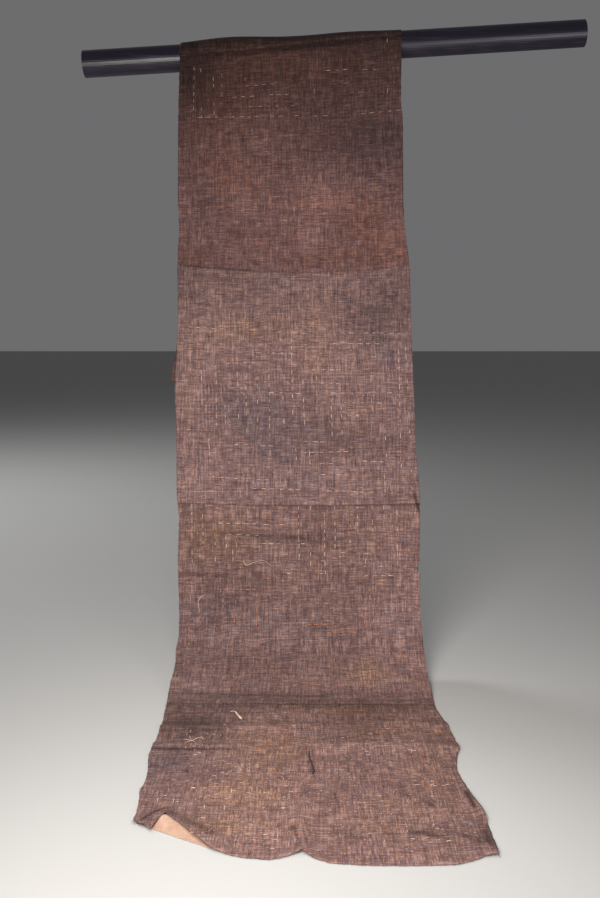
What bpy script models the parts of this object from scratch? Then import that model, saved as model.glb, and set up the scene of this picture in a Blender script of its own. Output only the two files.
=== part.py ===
"""Kuba cloth: a long strip of sewn raffia panels over a round rod, its lower end on the floor.

Metres, +Z up, the face of the cloth toward -Y and the floor at z = 0. The strip is laid out in its own
coordinates: x across it from its centreline, and run along it, from the crest of the rod down the front.
"""
import math

import bmesh
import bpy
from mathutils import Matrix, Vector

# Sheet and seams
SHEET = 0.0014
CLEAR = 0.0003
HALF_LAP = 0.006
CLIMB = 0.014

# Rod
ROD_RADIUS = 0.035
ROD_LENGTH = 1.34
ROD_SIDES = 48
ROD_TILT = math.radians(3.4)
ROD_HEIGHT = 1.619
ROD_Y = 0.588

# Strip over the rod: its centreline lies left of the middle of the rod
STRIP_X = -0.09
ROD_AIR = 0.0005
BEND = ROD_RADIUS + ROD_AIR + SHEET / 2
QUARTER = BEND * math.pi / 2
TILT_FADE = (1.0, 1.57)

# Middle of the front sheet from the rod to the floor: forward of the rod, height
FALL = (
    (BEND, ROD_HEIGHT),
    (0.056, 1.42),
    (0.100, 1.10),
    (0.152, 0.78),
    (0.203, 0.48),
    (0.238, 0.28),
    (0.262, 0.16),
    (0.310, 0.075),
    (0.405, 0.022),
    (0.530, SHEET / 2),
)

# Side edges of the strip: run, x
LEFT_EDGE = (
    (-0.945, -0.3677), (-0.840, -0.3474), (-0.700, -0.3320), (-0.300, -0.3210), (0.000, -0.3180),
    (0.270, -0.3233), (0.430, -0.3235), (0.510, -0.3208), (0.655, -0.3250), (0.775, -0.3230),
    (0.975, -0.3303), (1.040, -0.3274), (1.240, -0.3240), (1.300, -0.3184), (1.410, -0.3207),
    (1.513, -0.3175), (1.605, -0.3145), (1.646, -0.3194), (1.695, -0.3174), (1.770, -0.3214),
    (1.868, -0.3187), (1.974, -0.3138), (2.057, -0.3155), (2.131, -0.3198), (2.178, -0.3148),
    (2.223, -0.3095), (2.266, -0.3095), (2.290, -0.3142), (2.327, -0.3097), (2.385, -0.3060),
    (2.404, -0.3075),
)
RIGHT_EDGE = (
    (-0.945, 0.2620), (-0.500, 0.2650), (0.000, 0.2680), (0.200, 0.2675), (0.270, 0.2725),
    (0.470, 0.2740), (0.560, 0.2810), (0.655, 0.2915), (0.775, 0.2938), (0.975, 0.3012),
    (1.120, 0.3060), (1.200, 0.3136), (1.260, 0.3160), (1.405, 0.3154), (1.429, 0.3101),
    (1.450, 0.3153), (1.513, 0.3149), (1.646, 0.3194), (1.770, 0.3214), (1.868, 0.3211),
    (1.940, 0.3276), (1.974, 0.3325), (2.057, 0.3396), (2.109, 0.3403), (2.131, 0.3346),
    (2.178, 0.3245), (2.201, 0.3216), (2.266, 0.3273), (2.327, 0.3340), (2.385, 0.3440),
    (2.474, 0.3450), (2.517, 0.3437),
)

# Seams: run at the left edge, the middle and the right edge
BACK_SEAM = (-0.560, -0.563, -0.558)
ROD_SEAM = (0.0480, 0.0430, 0.0392)
UPPER_SEAM = (0.6286, 0.6465, 0.6325)
MIDDLE_SEAM = (1.256, 1.262, 1.258)
LOWER_SEAM = (1.854, 1.856, 1.858)
BACK_HEM = (-0.945, -0.945, -0.945)

# Hem on the floor: part of the width, run
HEM = (
    (0.000, 2.410), (0.018, 2.426), (0.037, 2.437), (0.055, 2.455), (0.086, 2.394), (0.225, 2.507),
    (0.276, 2.524), (0.326, 2.535), (0.393, 2.541), (0.440, 2.531), (0.477, 2.519), (0.512, 2.537),
    (0.551, 2.551), (0.642, 2.558), (0.733, 2.560), (0.838, 2.558), (0.880, 2.556), (0.924, 2.546),
    (0.965, 2.530), (1.000, 2.526),
)

# Soft folds: x and run where each starts and ends, half its width, its height off the sheet
FOLDS = (
    (-0.180, -0.900, -0.140, -0.480, 0.060, 0.0060),
    (0.120, -0.920, 0.090, -0.400, 0.080, -0.0050),
    (-0.224, 1.341, 0.105, 1.377, 0.020, -0.0040),
    (-0.263, 1.413, 0.263, 1.429, 0.026, 0.0035),
    (-0.315, 1.466, 0.079, 1.477, 0.020, -0.0030),
    (-0.250, 1.150, -0.040, 1.215, 0.045, 0.0050),
    (0.080, 0.880, 0.300, 0.800, 0.060, -0.0050),
    (-0.290, 0.420, 0.020, 0.360, 0.070, 0.0060),
    (0.060, 0.220, 0.260, 0.250, 0.035, -0.0030),
    (-0.100, 0.760, 0.060, 1.050, 0.070, 0.0060),
    (-0.268, 1.790, 0.073, 1.800, 0.022, -0.0030),
    (-0.300, 1.935, -0.060, 1.928, 0.016, 0.0050),
    (-0.312, 2.003, 0.020, 1.996, 0.020, 0.0065),
    (-0.316, 2.090, -0.120, 2.095, 0.014, 0.0045),
    (-0.124, 2.178, 0.082, 2.192, 0.030, 0.0040),
    (0.060, 2.090, 0.334, 2.104, 0.026, 0.0070),
    (0.180, 1.970, 0.330, 1.985, 0.020, 0.0045),
    (0.320, 2.300, 0.345, 2.400, 0.012, 0.0070),
    (0.003, 2.520, -0.004, 2.330, 0.020, 0.0060),
    (0.338, 2.515, 0.290, 2.480, 0.022, 0.0050),
    (-0.260, 2.412, -0.168, 2.478, 0.044, 0.0100),
)

# Light backing under the left corner: x and run of its lower and upper edges
BACKING_SHEET = 0.0010
BACKING_LOWER = ((-0.2720, 2.4490), (-0.1555, 2.5130))
BACKING_UPPER = ((-0.2780, 2.3900), (-0.1780, 2.4200))
BACKING_CELLS = (14, 8)
TACK_AIR = 0.0005

FRONT_COLUMNS = 14
BACK_COLUMNS = 10
FRONT_ROW = 0.036
BACK_ROW = 0.060
FLOOR_ROWS = 14
HEM_ROWS = 16
HEM_ROWS_START = 2.290
CORNER_COLUMNS = 18
CORNER_WIDTH = 0.276

DYED = (0.135, 0.085, 0.075, 1)
DYED_PALER = (0.155, 0.105, 0.098, 1)
UNDYED = (0.80, 0.58, 0.40, 1)
ROD_COLOUR = (0.020, 0.016, 0.024, 1)


def clear_scene():
    for item in list(bpy.data.objects):
        bpy.data.objects.remove(item, do_unlink=True)


def material(name, colour, roughness):
    made = bpy.data.materials.new(name)
    made.use_nodes = True
    shader = made.node_tree.nodes["Principled BSDF"]
    shader.inputs["Base Color"].default_value = colour
    shader.inputs["Roughness"].default_value = roughness
    return made


def smooth_step(value):
    part = min(max(value, 0.0), 1.0)
    return part * part * (3 - 2 * part)


def end_slope(slopes, index, given):
    return slopes[index] if given is None else given


def smooth_curve(table, first=None, last=None):
    """A curve through the table's points that never swings past them."""
    knots = [row[0] for row in table]
    values = [row[1] for row in table]
    steps = [b - a for a, b in zip(knots, knots[1:])]
    rises = [(b - a) / step for a, b, step in zip(values, values[1:], steps)]
    slopes = [end_slope(rises, 0, first)]
    for low, high, below, above in zip(rises, rises[1:], steps, steps[1:]):
        near = 2 * above + below
        far = above + 2 * below
        slopes.append((near + far) / (near / low + far / high) if low * high > 0 else 0.0)
    slopes.append(end_slope(rises, -1, last))

    def value_at(place):
        index = 0
        while index < len(steps) - 1 and place > knots[index + 1]:
            index += 1
        step = steps[index]
        part = min(max((place - knots[index]) / step, 0.0), 1.0)
        rest = 1 - part
        ends = rest * rest * (1 + 2 * part) * values[index] + part * part * (3 - 2 * part) * values[index + 1]
        return ends + part * rest * step * (rest * slopes[index] - part * slopes[index + 1])

    return value_at


def straight_lines(table):
    """Straight lines from point to point of the table."""
    def value_at(place):
        for (start, low), (end, high) in zip(table, table[1:]):
            if place <= end:
                return low + (high - low) * (place - start) / (end - start)
        return table[-1][1]

    return value_at


class Fall:
    """The sheet's middle from the rod to the floor, by its length."""

    SAMPLES = 600

    def __init__(self):
        places = [0.0]
        for (forward, height), (next_forward, next_height) in zip(FALL, FALL[1:]):
            places.append(places[-1] + math.hypot(next_forward - forward, next_height - height))
        self.forward = smooth_curve([(p, row[0]) for p, row in zip(places, FALL)], 0.0, 1.0)
        self.height = smooth_curve([(p, row[1]) for p, row in zip(places, FALL)], -1.0, 0.0)
        self.places = [places[-1] * i / self.SAMPLES for i in range(self.SAMPLES + 1)]
        points = [(self.forward(p), self.height(p)) for p in self.places]
        self.lengths = [0.0]
        for (forward, height), (next_forward, next_height) in zip(points, points[1:]):
            self.lengths.append(self.lengths[-1] + math.hypot(next_forward - forward, next_height - height))
        self.length = self.lengths[-1]
        self.place_at = straight_lines(list(zip(self.lengths, self.places)))

    def at(self, length):
        """Forward, height, and the unit direction down the strip."""
        place = self.place_at(length)
        step = 1e-4
        low = max(place - step, 0.0)
        high = min(place + step, self.places[-1])
        way = Vector((self.forward(high) - self.forward(low), self.height(high) - self.height(low)))
        way.normalize()
        return self.forward(place), self.height(place), way.x, way.y


FALL_LINE = Fall()
FOOT = QUARTER + FALL_LINE.length


def spine(run):
    """Forward of the rod, height, and the unit direction down the strip, at a run."""
    if run < -QUARTER:
        return -BEND, ROD_HEIGHT + run + QUARTER, 0.0, 1.0
    if run < QUARTER:
        angle = math.pi / 2 - run / BEND
        return BEND * math.cos(angle), ROD_HEIGHT + BEND * math.sin(angle), math.sin(angle), -math.cos(angle)
    if run < FOOT:
        return FALL_LINE.at(run - QUARTER)
    return FALL[-1][0] + run - FOOT, FALL[-1][1], 1.0, 0.0


def relief(x, run):
    """How far the soft folds lift the sheet off its spine."""
    total = 0.0
    here = Vector((x, run))
    for x_start, run_start, x_end, run_end, half_width, height in FOLDS:
        start = Vector((x_start, run_start))
        line = Vector((x_end, run_end)) - start
        part = min(max((here - start).dot(line) / line.length_squared, 0.0), 1.0)
        away = (here - start - line * part).length / half_width
        total += height * math.exp(-away * away)
    return total


def sheet_point(x, run, out):
    """The point that lies out from the middle of the sheet, toward the face of the cloth."""
    forward, height, along_forward, along_up = spine(run)
    lift = out + relief(x, run)
    low, high = TILT_FADE
    tilt = math.tan(ROD_TILT) * smooth_step((height - low) / (high - low))
    return Vector((
        STRIP_X + x,
        ROD_Y - forward + along_up * lift,
        height + along_forward * lift + x * tilt,
    ))


left_edge = smooth_curve(LEFT_EDGE)
right_edge = smooth_curve(RIGHT_EDGE)


def across(part, run):
    """The x of a part of the strip's width."""
    return left_edge(run) + (right_edge(run) - left_edge(run)) * part


def seam_line(ends):
    left, middle, right = ends
    return smooth_curve(((0.0, left), (0.5, middle), (1.0, right)))


def even(start, end, count):
    return [start + (end - start) * i / count for i in range(count + 1)]


def build_node(name, mesh, look):
    bmesh.ops.recalc_face_normals(mesh, faces=mesh.faces)
    data = bpy.data.meshes.new(name)
    mesh.to_mesh(data)
    mesh.free()
    data.materials.append(look)
    node = bpy.data.objects.new(name, data)
    bpy.context.collection.objects.link(node)
    return node


def thick_grid(name, face, back, look):
    """A closed sheet between two grids of points of the same shape."""
    mesh = bmesh.new()
    face = [[mesh.verts.new(point) for point in row] for row in face]
    back = [[mesh.verts.new(point) for point in row] for row in back]
    rows = len(face)
    columns = len(face[0])
    for i in range(rows - 1):
        for j in range(columns - 1):
            mesh.faces.new((face[i][j], face[i + 1][j], face[i + 1][j + 1], face[i][j + 1]))
            mesh.faces.new((back[i][j], back[i][j + 1], back[i + 1][j + 1], back[i + 1][j]))
    rim = [(0, j) for j in range(columns)] + [(i, columns - 1) for i in range(1, rows)]
    rim += [(rows - 1, j) for j in range(columns - 2, -1, -1)] + [(i, 0) for i in range(rows - 2, 0, -1)]
    for (i, j), (k, m) in zip(rim, rim[1:] + rim[:1]):
        mesh.faces.new((face[i][j], face[k][m], back[k][m], back[i][j]))
    return build_node(name, mesh, look)


def panel(name, columns, rows, look):
    """A panel of the strip: each row is its run by part of the width, and how far out it lies."""
    face = []
    back = []
    for run_at, out in rows:
        places = [(across(part, run_at(part)), run_at(part)) for part in columns]
        face.append([sheet_point(x, run, out + SHEET / 2) for x, run in places])
        back.append([sheet_point(x, run, out - SHEET / 2) for x, run in places])
    return thick_grid(name, face, back, look)


def beside(line, distance):
    """The line moved along the strip."""
    return lambda part: line(part) + distance


def between(first, second, share):
    """A line part of the way from the first line to the second."""
    return lambda part: first(part) * (1 - share) + second(part) * share


def tucked_edge(seam):
    """Rows of a panel's upper edge, which lies under the panel above."""
    return [(beside(seam, shift), 0.0) for shift in (-HALF_LAP, 0.0, HALF_LAP)]


def lapping_edge(seam):
    """Rows of a panel's lower edge, which climbs over the panel below."""
    over = SHEET + CLEAR
    climb = [(beside(seam, -HALF_LAP - CLIMB), 0.0)]
    return climb + [(beside(seam, shift), over) for shift in (-HALF_LAP, 0.0, HALF_LAP)]


def filling_rows(first, second, count):
    """Evenly spaced rows between two lines, which are left out."""
    return [(between(first, second, i / count), 0.0) for i in range(1, count)]


def constant(run):
    return lambda part: run


def front_panel(name, upper, lower, look):
    columns = even(0.0, 1.0, FRONT_COLUMNS)
    top = tucked_edge(upper)
    bottom = lapping_edge(lower)
    count = round((lower(0.5) - upper(0.5)) / FRONT_ROW)
    return panel(name, columns, top + filling_rows(top[-1][0], bottom[0][0], count) + bottom, look)


def first_front_panel(name, upper, lower, look):
    """The panel that leaves the rod: a close row more where it still bends."""
    columns = even(0.0, 1.0, FRONT_COLUMNS)
    top = tucked_edge(upper)
    leave = constant(QUARTER)
    bottom = lapping_edge(lower)
    count = round((lower(0.5) - QUARTER) / FRONT_ROW)
    middle = filling_rows(top[-1][0], leave, 2) + [(leave, 0.0)] + filling_rows(leave, bottom[0][0], count)
    return panel(name, columns, top + middle + bottom, look)


def back_upper_panel(name, lower, upper, look):
    """The panel that climbs the back and lies over the crest of the rod."""
    columns = even(0.0, 1.0, BACK_COLUMNS)
    top = tucked_edge(lower)
    leave = constant(-QUARTER)
    crest_rows = 9
    count = round((-QUARTER - lower(0.5)) / BACK_ROW)
    bottom = lapping_edge(upper)
    middle = filling_rows(top[-1][0], leave, count) + [(leave, 0.0)]
    middle += filling_rows(leave, bottom[0][0], crest_rows)
    return panel(name, columns, top + middle + bottom, look)


def back_lower_panel(name, hem, seam, look):
    columns = even(0.0, 1.0, BACK_COLUMNS)
    bottom = lapping_edge(seam)
    count = round((seam(0.5) - hem(0.5)) / BACK_ROW)
    return panel(name, columns, [(hem, 0.0)] + filling_rows(hem, bottom[0][0], count) + bottom, look)


def floor_panel(name, upper, look):
    """The last panel, flat on the floor, with close columns at its puckered left corner."""
    knots = [row[0] for row in HEM if row[0] > CORNER_WIDTH]
    columns = even(0.0, CORNER_WIDTH, CORNER_COLUMNS) + knots
    hem = straight_lines(HEM)
    top = tucked_edge(upper)
    close = constant(HEM_ROWS_START)
    rows = top + filling_rows(top[-1][0], close, FLOOR_ROWS) + [(close, 0.0)]
    rows += filling_rows(close, hem, HEM_ROWS) + [(hem, 0.0)]
    return panel(name, columns, rows, look)


def corner_backing(name, look):
    """Undyed cloth: flat on the floor along its lower edge, tacked under the panel along its upper one."""
    along, up = BACKING_CELLS
    lower = [Vector(point) for point in BACKING_LOWER]
    upper = [Vector(point) for point in BACKING_UPPER]
    face = []
    back = []
    for share in even(0.0, 1.0, up):
        start = lower[0].lerp(upper[0], share)
        end = lower[1].lerp(upper[1], share)
        face_row = []
        back_row = []
        for part in even(0.0, 1.0, along):
            x, run = start.lerp(end, part)
            tacked = relief(x, run) - TACK_AIR - BACKING_SHEET
            height = max(tacked, 0.0) * smooth_step(share)
            place = sheet_point(x, run, 0.0)
            back_row.append(Vector((place.x, place.y, height)))
            face_row.append(Vector((place.x, place.y, height + BACKING_SHEET)))
        face.append(face_row)
        back.append(back_row)
    return thick_grid(name, face, back, look)


def rod(name, look):
    mesh = bmesh.new()
    bmesh.ops.create_cone(
        mesh, cap_ends=True, segments=ROD_SIDES, radius1=ROD_RADIUS, radius2=ROD_RADIUS, depth=ROD_LENGTH)
    bmesh.ops.rotate(mesh, verts=mesh.verts, matrix=Matrix.Rotation(math.pi / 2, 3, "Y"))
    node = build_node(name, mesh, look)
    for face in node.data.polygons:
        face.use_smooth = len(face.vertices) == 4
    node.location = (0.0, ROD_Y, ROD_HEIGHT - STRIP_X * math.tan(ROD_TILT))
    node.rotation_euler = (0.0, -ROD_TILT, 0.0)
    return node


def main():
    clear_scene()
    rod("rod", material("rod", ROD_COLOUR, 0.45))
    back_hem = seam_line(BACK_HEM)
    back_seam = seam_line(BACK_SEAM)
    rod_seam = seam_line(ROD_SEAM)
    upper_seam = seam_line(UPPER_SEAM)
    middle_seam = seam_line(MIDDLE_SEAM)
    lower_seam = seam_line(LOWER_SEAM)
    back_lower_panel("panel_back_lower", back_hem, back_seam, material("raffia_back_lower", DYED, 0.85))
    back_upper_panel("panel_back_upper", back_seam, rod_seam, material("raffia_back_upper", DYED, 0.85))
    first_front_panel("panel_front_1", rod_seam, upper_seam, material("raffia_front_1", DYED, 0.85))
    front_panel("panel_front_2", upper_seam, middle_seam, material("raffia_front_2", DYED_PALER, 0.85))
    front_panel("panel_front_3", middle_seam, lower_seam, material("raffia_front_3", DYED, 0.85))
    floor_panel("panel_front_4", lower_seam, material("raffia_front_4", DYED_PALER, 0.85))
    corner_backing("corner_backing", material("undyed_raffia", UNDYED, 0.90))


main()
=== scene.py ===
"""Kuba cloth on its hanging rod: the finish of every piece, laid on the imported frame.

Metres, +Z up, the face of the cloth toward -Y and the floor at z = 0. A place on the cloth is given in its
own coordinates: x across the strip from its centreline, and run along it from the crest of the rod.
"""
import math
import random

import bpy
import numpy as np
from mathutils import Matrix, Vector, noise


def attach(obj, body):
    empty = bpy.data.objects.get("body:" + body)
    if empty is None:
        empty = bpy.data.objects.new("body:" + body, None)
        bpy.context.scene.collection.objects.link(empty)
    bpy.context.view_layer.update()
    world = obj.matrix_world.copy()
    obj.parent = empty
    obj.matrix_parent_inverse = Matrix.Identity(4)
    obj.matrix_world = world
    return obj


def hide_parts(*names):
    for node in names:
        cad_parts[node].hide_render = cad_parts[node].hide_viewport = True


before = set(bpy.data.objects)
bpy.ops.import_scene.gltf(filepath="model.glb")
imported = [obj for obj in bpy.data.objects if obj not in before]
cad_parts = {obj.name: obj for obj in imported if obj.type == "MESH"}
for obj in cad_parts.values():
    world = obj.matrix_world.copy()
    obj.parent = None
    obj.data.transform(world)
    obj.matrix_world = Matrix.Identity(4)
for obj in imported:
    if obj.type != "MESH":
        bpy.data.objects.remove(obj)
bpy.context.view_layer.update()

# Camera of the photograph: its place, how far it looks down, and its focal length in pixels
IMAGE_HEIGHT = 898
FOCAL_PIXELS = 1000
CAMERA_BACK = 2.80
CAMERA_HEIGHT = 0.936
CAMERA_PITCH = math.radians(8.0)
SENSOR_MM = 36.0

# Sheet, seams and rod, as the solids have them
SHEET = 0.0014
CLEAR = 0.0003
HALF_LAP = 0.006
CLIMB = 0.014
ROD_RADIUS = 0.035
ROD_TILT = math.radians(3.4)
ROD_HEIGHT = 1.619
ROD_Y = 0.588
STRIP_X = -0.09
BEND = ROD_RADIUS + 0.0005 + SHEET / 2
QUARTER = BEND * math.pi / 2
TILT_FADE = (1.0, 1.57)
FLOOR_DROP = 0.0006

FALL = (
    (BEND, ROD_HEIGHT), (0.056, 1.42), (0.100, 1.10), (0.152, 0.78), (0.203, 0.48),
    (0.238, 0.28), (0.262, 0.16), (0.310, 0.075), (0.405, 0.022), (0.530, SHEET / 2),
)

# Side edges of the strip: run, x
LEFT_EDGE = (
    (-0.945, -0.3677), (-0.840, -0.3474), (-0.700, -0.3320), (-0.300, -0.3210), (0.000, -0.3180),
    (0.270, -0.3233), (0.430, -0.3235), (0.510, -0.3208), (0.655, -0.3250), (0.775, -0.3230),
    (0.975, -0.3303), (1.040, -0.3274), (1.240, -0.3240), (1.300, -0.3184), (1.410, -0.3207),
    (1.513, -0.3175), (1.605, -0.3145), (1.646, -0.3194), (1.695, -0.3174), (1.770, -0.3214),
    (1.868, -0.3187), (1.974, -0.3138), (2.057, -0.3155), (2.131, -0.3198), (2.178, -0.3148),
    (2.223, -0.3095), (2.266, -0.3095), (2.290, -0.3142), (2.327, -0.3097), (2.385, -0.3060),
    (2.404, -0.3075),
)
RIGHT_EDGE = (
    (-0.945, 0.2620), (-0.500, 0.2650), (0.000, 0.2680), (0.200, 0.2675), (0.270, 0.2725),
    (0.470, 0.2740), (0.560, 0.2810), (0.655, 0.2915), (0.775, 0.2938), (0.975, 0.3012),
    (1.120, 0.3060), (1.200, 0.3136), (1.260, 0.3160), (1.405, 0.3154), (1.429, 0.3101),
    (1.450, 0.3153), (1.513, 0.3149), (1.646, 0.3194), (1.770, 0.3214), (1.868, 0.3211),
    (1.940, 0.3276), (1.974, 0.3325), (2.057, 0.3396), (2.109, 0.3403), (2.131, 0.3346),
    (2.178, 0.3245), (2.201, 0.3216), (2.266, 0.3273), (2.327, 0.3340), (2.385, 0.3440),
    (2.474, 0.3450), (2.517, 0.3437),
)

# Seams and ends: run at even steps from the left edge to the right
BACK_SEAM = (-0.560, -0.563, -0.558)
ROD_SEAM = (0.0490, 0.0520, 0.0450, 0.0390, 0.0350)
UPPER_SEAM = (0.6230, 0.6370, 0.6445, 0.6420, 0.6235)
MIDDLE_SEAM = (1.256, 1.262, 1.258)
LOWER_SEAM = (1.854, 1.856, 1.858)
BACK_HEM = (-0.945, -0.945, -0.945)

# Hem on the floor: part of the width, run
HEM = (
    (0.000, 2.410), (0.018, 2.426), (0.037, 2.433), (0.056, 2.448), (0.086, 2.394), (0.225, 2.507),
    (0.276, 2.524), (0.326, 2.535), (0.393, 2.541), (0.440, 2.531), (0.477, 2.519), (0.512, 2.537),
    (0.551, 2.551), (0.642, 2.558), (0.733, 2.560), (0.838, 2.558), (0.880, 2.556), (0.924, 2.546),
    (0.965, 2.530), (1.000, 2.526),
)

# Soft folds: x and run where each starts and ends, half its width, its height off the sheet
FOLDS = (
    (-0.180, -0.900, -0.140, -0.480, 0.060, 0.0060),
    (0.120, -0.920, 0.090, -0.400, 0.080, -0.0050),
    (-0.224, 1.341, 0.105, 1.377, 0.020, -0.0040),
    (-0.263, 1.413, 0.263, 1.429, 0.026, 0.0035),
    (-0.315, 1.466, 0.079, 1.477, 0.020, -0.0030),
    (-0.250, 1.150, -0.040, 1.215, 0.045, 0.0050),
    (0.080, 0.880, 0.300, 0.800, 0.060, -0.0050),
    (-0.290, 0.420, 0.020, 0.360, 0.070, 0.0060),
    (0.060, 0.220, 0.260, 0.250, 0.035, -0.0030),
    (-0.100, 0.760, 0.060, 1.050, 0.070, 0.0060),
    (-0.268, 1.790, 0.073, 1.800, 0.022, -0.0030),
    (-0.300, 1.935, -0.060, 1.928, 0.016, 0.0050),
    (-0.312, 2.003, 0.020, 1.996, 0.020, 0.0065),
    (-0.316, 2.090, -0.120, 2.095, 0.014, 0.0045),
    (-0.124, 2.178, 0.082, 2.192, 0.030, 0.0040),
    (0.060, 2.090, 0.334, 2.104, 0.026, 0.0070),
    (0.180, 1.970, 0.330, 1.985, 0.020, 0.0045),
    (0.320, 2.300, 0.345, 2.400, 0.012, 0.0070),
    (0.003, 2.520, -0.004, 2.330, 0.020, 0.0060),
    (0.338, 2.515, 0.290, 2.480, 0.022, 0.0050),
    (-0.260, 2.412, -0.168, 2.478, 0.044, 0.0100),
)

# Where the stiff cloth stands a little off the rod's crest: x, half width, height
CROWN = ((-0.190, 0.110, 0.0090), (0.130, 0.090, 0.0035))
CROWN_LENGTH = 0.036

# Light backing under the left corner
BACKING_SHEET = 0.0010
BACKING_LOWER = ((-0.2735, 2.4350), (-0.1555, 2.5050))
BACKING_UPPER = ((-0.2780, 2.3900), (-0.1780, 2.4200))
TACK_AIR = 0.0005

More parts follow.
